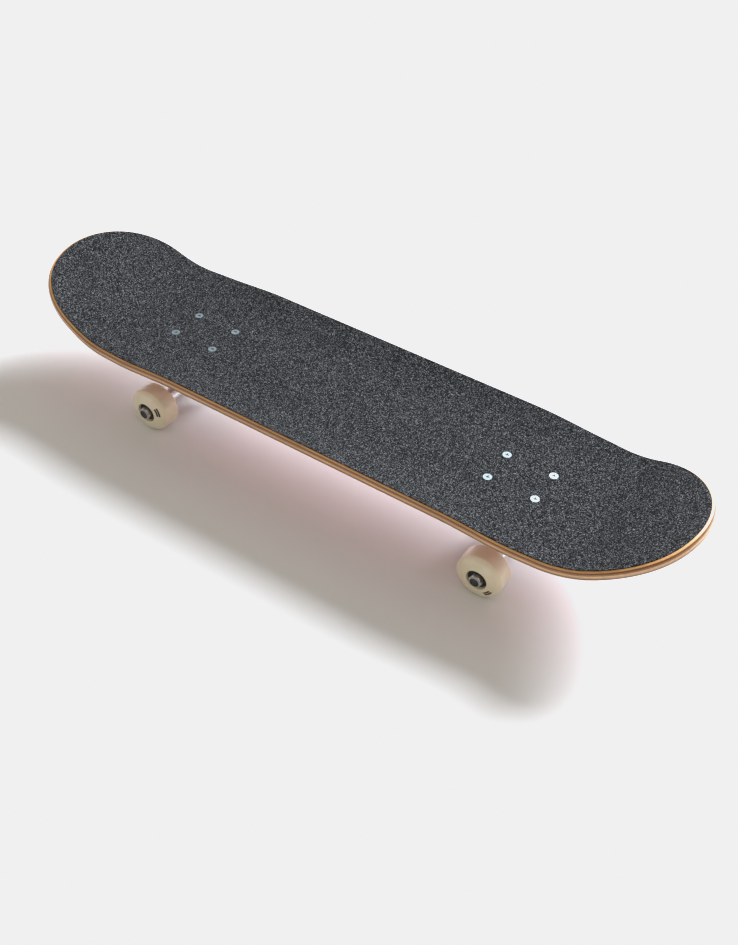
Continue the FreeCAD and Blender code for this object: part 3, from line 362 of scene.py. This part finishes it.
# ---------------------------------------------------------------- the griptape
# A sheet of black silicon-carbide grit on an adhesive backing, stuck over the whole top, trimmed
# with a blade along the routed edge and punched for the bolts' heads.

GRIP_BASE, GRIP_TOP = 0.0105, 0.0115
TRIM = 0.0003


def grit():
    """Black grains of different sizes and facets, with dust and handling greying some of them."""
    finish, tree, shader = new_finish("black_grit", roughness=0.85)
    shader.inputs["Specular IOR Level"].default_value = 0.06
    coords = on_piece(tree)
    grains = add_node(tree, "TexVoronoi", {"Vector": coords, "Scale": 1500.0, "Randomness": 1.0})
    coarse = add_node(tree, "TexVoronoi", {"Vector": coords, "Scale": 800.0, "Randomness": 1.0})
    fine = pattern(tree, coords, 1900, 2, 0.7)
    tone = add_node(tree, "SeparateColor", {"Color": grains.outputs["Color"]}).outputs[0]
    black, grey, silver = (0.002, 0.0022, 0.0028), (0.012, 0.0127, 0.0138), (0.050, 0.0525, 0.0545)
    facet = shades(tree, tone, (0.0, black), (0.5, grey), (0.82, silver), (1.0, (0.23, 0.24, 0.25)))
    speckle = shades(tree, fine, (0.35, 0.15), (0.65, 1.7))
    dark = blended(tree, 1.0, facet, speckle, "MULTIPLY")
    worn = pattern(tree, coords, 14, 4, 0.6)
    haze = shades(tree, worn, (0.35, (0.0, 0.0, 0.0)), (0.8, (0.003, 0.0033, 0.0034)))
    tree.links.new(blended(tree, 1.0, dark, haze, "ADD"), shader.inputs["Base Color"])
    tree.links.new(shades(tree, tone, (0.5, 0.95), (1.0, 0.5)), shader.inputs["Roughness"])
    heights = add_node(
        tree, "Math", {0: grains.outputs["Distance"], 1: coarse.outputs["Distance"]}, operation="ADD"
    )
    rough_up(tree, shader, heights.outputs[0], 0.0006, 0.9)
    return finish


levels = [(GRIP_BASE, EDGE_ROUND), (GRIP_TOP - TRIM, EDGE_ROUND), (GRIP_TOP, EDGE_ROUND + TRIM)]
grip = press_and_drill("grip_sheet", levels, [grit()])
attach(grip, "deck")
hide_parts("griptape")
bpy.data.objects.remove(drill_bits)

# ---------------------------------------------------------------- bolts, nuts and washers
# Zinc-plated steel: countersunk machine screws down through the deck, lock nuts under the
# baseplate, and the cupped washers that hold the bushings. The parts as turned and pressed keep
# their shape; the plating is dull and clouded, and the threads show where they stand out.


def plated_steel(name, colour, roughness, thread=None):
    """Plated or bare steel; a thread is its direction's (turn, pitch)."""
    finish, tree, shader = new_finish(name, colour, 1.0, roughness)
    coords = on_piece(tree)
    cloud = pattern(tree, coords, 260, 3, 0.6)
    dull = tuple(channel * 0.72 for channel in colour)
    tree.links.new(shades(tree, cloud, (0.3, dull), (0.7, colour)), shader.inputs["Base Color"])
    gloss = shades(tree, cloud, (0.25, roughness + 0.14), (0.75, max(roughness - 0.08, 0.05)))
    tree.links.new(gloss, shader.inputs["Roughness"])
    if thread:
        turn, pitch = thread
        along = on_piece(tree, turn=turn)
        values = {"Vector": along, "Scale": 1 / (pitch * 20)}
        ridges = add_node(tree, "TexWave", values, wave_type="BANDS", bands_direction="Z")
        rough_up(tree, shader, ridges.outputs["Fac"], 0.0004, 1.0)
    else:
        rough_up(tree, shader, pattern(tree, coords, 1500, 2), 0.00002, 0.6)
    return finish


def dress(finish, *names):
    """Puts a finish on parts that keep their shape."""
    for name in names:
        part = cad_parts[name]
        part.data.materials.clear()
        part.data.materials.append(finish)


zinc = plated_steel("zinc_plate", (0.74, 0.77, 0.80), 0.34)
threaded_zinc = plated_steel("threaded_zinc", (0.39, 0.48, 0.55), 0.42, ((0, 0, 0), 0.0008))
for end in ("front", "rear"):
    dress(threaded_zinc, f"{end}_mounting_bolts")
    dress(zinc, f"{end}_mounting_nuts", f"{end}_bushing_washers", f"{end}_kingpin_nut")

# ---------------------------------------------------------------- the baseplates
# Cast aluminium plates with a boss for the kingpin, a tilted cup for the pivot and a rib between
# them. Casting leaves every corner rounded, and tumbling leaves the faces faintly grained.

CAST_GRAIN = 0.0006


def cast_aluminium(name, roughness, grain, depth):
    """Cast and tumbled aluminium, brighter where it has been rubbed."""
    finish, tree, shader = new_finish(name, (0.76, 0.76, 0.77), 1.0, roughness)
    coords = on_piece(tree)
    rub = pattern(tree, coords, 45, 4, 0.6)
    skin = pattern(tree, coords, grain, 3, 0.6)
    metal = shades(tree, rub, (0.3, (0.60, 0.60, 0.61)), (0.7, (0.82, 0.82, 0.83)))
    tree.links.new(metal, shader.inputs["Base Color"])
    gloss = shades(tree, rub, (0.3, roughness + 0.12), (0.7, roughness - 0.06))
    tree.links.new(gloss, shader.inputs["Roughness"])
    rough_up(tree, shader, skin, depth, 0.7)
    return finish


def cast_from(name, node, finish, passes):
    """A casting of a part's shape: the same solid, with the corners that a mould rounds off."""
    bm = bmesh.new()
    bm.from_mesh(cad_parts[node].data)
    bmesh.ops.remove_doubles(bm, verts=bm.verts, dist=1e-6)
    pattern_piece = as_piece(name + "_pattern", bm, [])
    sand = pattern_piece.modifiers.new("sand", "REMESH")
    sand.mode = "VOXEL"
    sand.voxel_size = CAST_GRAIN
    bm = baked(pattern_piece)
    every_way = {"use_axis_x": True, "use_axis_y": True, "use_axis_z": True}
    for _ in range(passes):
        bmesh.ops.smooth_vert(bm, verts=bm.verts, factor=0.5, **every_way)
    return as_piece(name, bm, [finish], sharp=80)


tumbled = cast_aluminium("tumbled_casting", 0.42, 1400, 0.00005)
for end in ("front", "rear"):
    plate = cast_from(f"{end}_cast_baseplate", f"{end}_baseplate", tumbled, 3)
    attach(plate, "deck")
    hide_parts(f"{end}_baseplate")

# ---------------------------------------------------------------- kingpins and pivot cups
# The kingpin is a blackened steel bolt pressed into the baseplate, threaded at its lower end for
# the nut. The pivot cup is a black urethane socket that the hanger's pivot turns in.


def urethane(name, colour, dark, roughness, depth=0.0, radius=0.004):
    """Poured urethane: even colour with faint clouding, a soft sheen and some light carried within."""
    finish, tree, shader = new_finish(name, colour, 0.0, roughness)
    cloud = pattern(tree, on_piece(tree), 60, 3, 0.5)
    tree.links.new(shades(tree, cloud, (0.25, dark), (0.75, colour)), shader.inputs["Base Color"])
    gloss = shades(tree, cloud, (0.2, roughness + 0.06), (0.8, roughness - 0.06))
    tree.links.new(gloss, shader.inputs["Roughness"])
    shader.inputs["Subsurface Weight"].default_value = depth
    shader.inputs["Subsurface Radius"].default_value = (1.0, 0.62, 0.34)
    shader.inputs["Subsurface Scale"].default_value = radius
    rough_up(tree, shader, pattern(tree, on_piece(tree), 2200, 2), 0.00002, 0.5)
    return finish


KINGPIN_LEAN = math.radians(8)
black_urethane = urethane("black_urethane", (0.035, 0.035, 0.036), (0.022, 0.022, 0.023), 0.45)
for end, way in (("front", 1), ("rear", -1)):
    blackened = plated_steel(
        f"{end}_blackened_steel", (0.20, 0.20, 0.21), 0.38, ((0, -way * KINGPIN_LEAN, 0), 0.0011)
    )
    dress(blackened, f"{end}_kingpin")
    dress(black_urethane, f"{end}_pivot_cup")

# ---------------------------------------------------------------- the bushings
# Two poured urethane rings on each kingpin, a barrel above the hanger's ring and a cone below it.
# They are squeezed between the cupped washers and the ring, and let the hanger tilt.

RING_INSET, RING_DEPTH, RING_HALF = 0.014, 0.035, 0.004
BORE, LIP, LIP_HEIGHT = 0.00495, 0.0073, 0.0025
BARREL_RADIUS, BARREL_HEIGHT = 0.0125, 0.013
CONE_RADIUS, CONE_TIP, CONE_HEIGHT = 0.012, 0.0095, 0.0095
LONG_SIDE = 0.0018  # LONG_SIDE = 0.0018 # sides longer than this are divided in three
maroon = urethane("maroon_urethane", (0.30, 0.022, 0.045), (0.20, 0.014, 0.03), 0.36, 0.3, 0.003)

trucks = {
    "front": Matrix.Translation(bolt_ends["front"]),
    "rear": Matrix.Translation(bolt_ends["rear"]) @ Matrix.Rotation(math.pi, 4, "Z"),
}
for end, truck in trucks.items():
    ring = truck @ Matrix.Translation((-RING_INSET, 0, -RING_DEPTH))
    ring = ring @ Matrix.Rotation(KINGPIN_LEAN, 4, "Y")
    waist = BARREL_RADIUS * 0.955
    barrel = [(BORE, -LIP_HEIGHT), (LIP, -LIP_HEIGHT), (LIP, 0.0001), (BARREL_RADIUS * 0.95, 0.0001)]
    barrel += [(BARREL_RADIUS, 0.0008), (BARREL_RADIUS, 0.0028), (waist, 0.005), (waist, 0.008)]
    barrel += [(BARREL_RADIUS, 0.0102), (BARREL_RADIUS, 0.0122), (BARREL_RADIUS * 0.95, BARREL_HEIGHT)]
    barrel += [(BORE, BARREL_HEIGHT)]
    cone = [(BORE, -LIP_HEIGHT), (LIP, -LIP_HEIGHT), (LIP, 0.0001), (CONE_RADIUS * 0.95, 0.0001)]
    cone += [(CONE_RADIUS, 0.0008), (CONE_RADIUS * 0.985, 0.003), (CONE_TIP * 1.07, 0.0075)]
    cone += [(CONE_TIP, 0.009), (CONE_TIP * 0.95, CONE_HEIGHT), (BORE, CONE_HEIGHT)]
    under = Matrix.Translation((0, 0, -RING_HALF)) @ Matrix.Rotation(math.pi, 4, "X")
    for kind, section, height, seat in (
        ("boardside", barrel, BARREL_HEIGHT, Matrix.Translation((0, 0, RING_HALF))),
        ("roadside", cone, CONE_HEIGHT, under),
    ):
        bm = bmesh.new()
        turn_section(bm, section, 64, ring @ seat)
        long_sides = [e for e in bm.edges if e.calc_length() > LONG_SIDE]
        bmesh.ops.subdivide_edges(bm, edges=long_sides, cuts=2, use_grid_fill=True)
        bushing = as_piece(f"{end}_{kind}_urethane", bm, [maroon])
        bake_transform(bushing)
        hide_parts(f"{end}_{kind}_bushing")

# ---------------------------------------------------------------- the hangers and axles
# The hanger is cast aluminium round a steel axle, then ground and polished, so its arms are
# brighter than the baseplate. The axle's ends are threaded for lock nuts with nylon rings.

polished = cast_aluminium("polished_casting", 0.26, 700, 0.00002)
# The axle's dark steel is painted shade: its end sits in shade inside the lock nut.
painted_shade_axle_steel = plated_steel("painted_shade_axle_steel", (0.10, 0.10, 0.105), 0.34, ((math.pi / 2, 0, 0), 0.0011))
nylon = urethane("black_nylon", (0.03, 0.03, 0.032), (0.02, 0.02, 0.021), 0.5)
for end in ("front", "rear"):
    hanger = cast_from(f"{end}_cast_hanger", f"{end}_hanger", polished, 6)
    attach(hanger, f"{end}_hanger")
    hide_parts(f"{end}_hanger")
    dress(painted_shade_axle_steel, f"{end}_axle")
    dress(zinc, f"{end}_axle_nuts", f"{end}_speed_washers", f"{end}_bearing_spacers")
    dress(nylon, f"{end}_axle_nut_inserts")

# ---------------------------------------------------------------- the bearings
# Standard ball bearings, two to a wheel: outer races near black as painted shade of the hub recess,
# seven polished balls in a nylon crown, and a black rubber seal on the outward side of each.

race_steel = plated_steel("race_steel", (0.72, 0.72, 0.73), 0.2)
# The outer races' near-black steel is painted shade: it darkens the deep recess round the bearing.
painted_shade_race_steel = plated_steel("painted_shade_race_steel", (0.07, 0.07, 0.075), 0.3)
cage_nylon = urethane("cage_nylon", (0.70, 0.62, 0.45), (0.60, 0.52, 0.37), 0.5)
SEAL_BORE, SEAL_RADIUS, SEAL_THICK = 0.00645, 0.0091, 0.0004
SEAL_BRIM, GROOVE_DEPTH = -0.00002, -0.00018
BEARING_FACE = 0.0117  # of the seals, from the wheel's middle
sides = {"left": 1, "right": -1}


def facing(corner, side):
    """The middle of a wheel, with +Z towards the outside of the board."""
    low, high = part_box(f"{corner}_wheel")
    return Matrix.Translation((low + high) / 2) @ Matrix.Rotation(-side * math.pi / 2, 4, "X")


seal_rubber = urethane("seal_rubber", (0.022, 0.021, 0.022), (0.014, 0.013, 0.014), 0.38)
for end in ("front", "rear"):
    dress(race_steel, f"{end}_bearing_inner_races")
    for side_name, side in sides.items():
        corner = f"{end}_{side_name}"
        dress(painted_shade_race_steel, f"{corner}_bearing_outer_races")
        dress(race_steel, f"{corner}_bearing_balls")
        dress(cage_nylon, f"{corner}_bearing_cages")
        bm = bmesh.new()
        section = [(SEAL_BORE, -SEAL_THICK), (SEAL_RADIUS, -SEAL_THICK), (SEAL_RADIUS, -0.0001)]
        section += [(SEAL_RADIUS - 0.0003, 0.0), (0.0083, SEAL_BRIM), (0.0081, GROOVE_DEPTH)]
        section += [(0.0074, GROOVE_DEPTH), (0.0072, SEAL_BRIM), (SEAL_BORE + 0.0002, 0.0)]
        section += [(SEAL_BORE, -0.0001)]
        for flip in (0, math.pi):
            outward = facing(corner, side) @ Matrix.Rotation(flip, 4, "X")
            turn_section(bm, section, 64, outward @ Matrix.Translation((0, 0, BEARING_FACE)))
        seals = as_piece(f"{corner}_seals", bm, [seal_rubber])
        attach(seals, f"{corner}_wheel")
        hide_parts(f"{corner}_bearing_shields")

# ---------------------------------------------------------------- the wheels
# Ivory urethane, poured and turned: a flat tread, round shoulders, and sloping faces that rise to
# the rim round the bearing. Two short plain dashes are printed beside each hub.

WHEEL_HALF, TREAD_HALF = 0.016, 0.009
TREAD_RADIUS = 0.026
HUB_RADIUS, HUB_FACE = 0.0116, 0.0155
RIM_RADIUS = 0.0126
SHOULDER_RADIUS, SHOULDER_AT = 0.0230, 0.0124
SEAT_RADIUS, CORE_RADIUS, SEAT_AT, SEAT_DEPTH = 0.011, 0.0096, 0.005, 0.0075
TREAD_ROUND, SHOULDER_ROUND, RIM_ROUND, HUB_ROUND = 0.0024, 0.0018, 0.0005, 0.0003
DASHES = ((0.0156, 0.0177), (0.0182, 0.0203))
DASH_ARC = math.radians(32)
OUTER_FACE = 0.012  # the printed face is further out than this
dash_turns = {"front_left": 203, "front_right": 60, "rear_left": 140, "rear_right": 300}


def on_face(radius):
    """How far out a wheel's sloping face is at a radius."""
    share = (radius - RIM_RADIUS) / (SHOULDER_RADIUS - RIM_RADIUS)
    return WHEEL_HALF + share * (SHOULDER_AT - WHEEL_HALF)


ivory = urethane("ivory_urethane", (0.80, 0.72, 0.55), (0.72, 0.63, 0.46), 0.34, 0.65, 0.006)
ink, ink_tree, ink_shader = new_finish("black_ink", (0.012, 0.012, 0.012), 0.0, 0.45)
ink_cloud = pattern(ink_tree, on_piece(ink_tree), 900, 3)
ink_cover = shades(ink_tree, ink_cloud, (0.3, (0.03, 0.03, 0.03)), (0.6, (0.01, 0.01, 0.01)))
ink_tree.links.new(ink_cover, ink_shader.inputs["Base Color"])

for corner, dash_turn in dash_turns.items():
    end, side_name = corner.split("_")
    half = [(CORE_RADIUS, SEAT_AT), (SEAT_RADIUS, SEAT_AT), (SEAT_RADIUS, SEAT_AT + SEAT_DEPTH)]
    half += [(HUB_RADIUS, HUB_FACE), (RIM_RADIUS, WHEEL_HALF)]
    half += [(radius, on_face(radius)) for dash in DASHES for radius in dash]
    half += [(SHOULDER_RADIUS, SHOULDER_AT), (TREAD_RADIUS, TREAD_HALF)]
    section = half + [(radius, -height) for radius, height in reversed(half)]
    bm = bmesh.new()
    turn_section(bm, section, 128, Matrix.Identity(4))
    for radius, height, offset in (
        (TREAD_RADIUS, TREAD_HALF, TREAD_ROUND),
        (SHOULDER_RADIUS, SHOULDER_AT, SHOULDER_ROUND),
        (RIM_RADIUS, WHEEL_HALF, RIM_ROUND),
        (HUB_RADIUS, HUB_FACE, HUB_ROUND),
    ):
        at_radius = {v for v in bm.verts if abs(math.hypot(v.co.x, v.co.y) - radius) < 1e-5}
        at_corner = {v for v in at_radius if abs(abs(v.co.z) - height) < 1e-5}
        loop = [e for e in bm.edges if at_corner.issuperset(e.verts)]
        rounding = {"segments": 6, "profile": 0.5, "affect": "EDGES", "material": -1}
        bmesh.ops.bevel(bm, geom=loop, offset=offset, clamp_overlap=True, **rounding)
    for face in bm.faces:
        middle = face.calc_center_median()
        radius = math.hypot(middle.x, middle.y)
        turned = math.atan2(middle.y, middle.x) - math.radians(dash_turn)
        turned = (turned + math.pi) % (2 * math.pi) - math.pi
        on_dash = any(inner < radius < outer for inner, outer in DASHES)
        on_dash = on_dash and abs(turned) < DASH_ARC / 2 and middle.z > OUTER_FACE
        face.material_index = int(on_dash)
    bmesh.ops.transform(bm, matrix=facing(corner, sides[side_name]), verts=bm.verts)
    wheel = as_piece(f"{corner}_urethane_wheel", bm, [ivory, ink], sharp=50)
    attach(wheel, f"{corner}_wheel")
    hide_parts(f"{corner}_wheel")

# ---------------------------------------------------------------- floor, light and camera
# A plain pale floor, one broad round lamp beyond the board's right side, and an even fill from all
# round. The camera looks down over the board's left side from beyond the tail.

bm = bmesh.new()
bmesh.ops.create_grid(bm, x_segments=1, y_segments=1, size=30)
floor_finish, _, floor_shader = new_finish("studio_floor", (0.8, 0.8, 0.8), 0.0, 0.9)
floor_shader.inputs["Specular IOR Level"].default_value = 0.0
floor = as_piece("studio_floor", bm, [floor_finish])

LAMP_DISTANCE, LAMP_SPREAD, LAMP_STRENGTH = 3.2, math.radians(29), 10.2
lamp = bpy.data.lights.new("key", "AREA")
lamp.shape = "DISK"
lamp.size = 2 * LAMP_DISTANCE * math.tan(LAMP_SPREAD / 2)
lamp.energy = LAMP_STRENGTH * math.pi * LAMP_DISTANCE**2
lamp.color = (0.893, 0.922, 1.0)
key = bpy.data.objects.new("key", lamp)
key_heading, key_height = math.radians(72), math.radians(35.5)
key_turn = Matrix.Rotation(key_heading - math.pi / 2, 4, "Z")
key_turn = key_turn @ Matrix.Rotation(math.pi / 2 - key_height, 4, "X")
key.matrix_world = key_turn @ Matrix.Translation((0, 0, LAMP_DISTANCE))
key.visible_camera = False
bpy.context.scene.collection.objects.link(key)

world = bpy.data.worlds.new("fill")
bpy.context.scene.world = world
world.use_nodes = True
background = world.node_tree.nodes["Background"]
background.inputs["Color"].default_value = (1.0, 0.963, 0.865, 1)
background.inputs["Strength"].default_value = 0.51

# The exposure holds the floor at an even pale grey, and only highlights go beyond it to white.
BACKDROP, HIGHLIGHT = 0.871, 2.2
view = bpy.context.scene.view_settings
view.view_transform = "Standard"
view.use_curve_mapping = True
tones = view.curve_mapping
tones.use_clip = False
tones.extend = "HORIZONTAL"
response = tones.curves[3]
response.points[0].location = (0, 0)
response.points[1].location = (5, 1)
response.points.new(BACKDROP, BACKDROP)
response.points.new(HIGHLIGHT, BACKDROP + 0.003)
for point in response.points:
    point.handle_type = "VECTOR"
tones.update()

lens = bpy.data.cameras.new("camera")
lens.lens = 42.28
lens.clip_end = 50
camera = bpy.data.objects.new("camera", lens)
forward = Vector((0.38584, -0.62319, -0.68027)).normalized()
right = Vector((-0.82997, -0.55644, 0.03901)).normalized()
up = right.cross(forward)
aim = Matrix((right, up, -forward)).transposed().to_4x4()
camera.matrix_world = Matrix.Translation((-0.5146, 0.7826, 0.8476)) @ aim
bpy.context.scene.collection.objects.link(camera)
bpy.context.scene.camera = camera
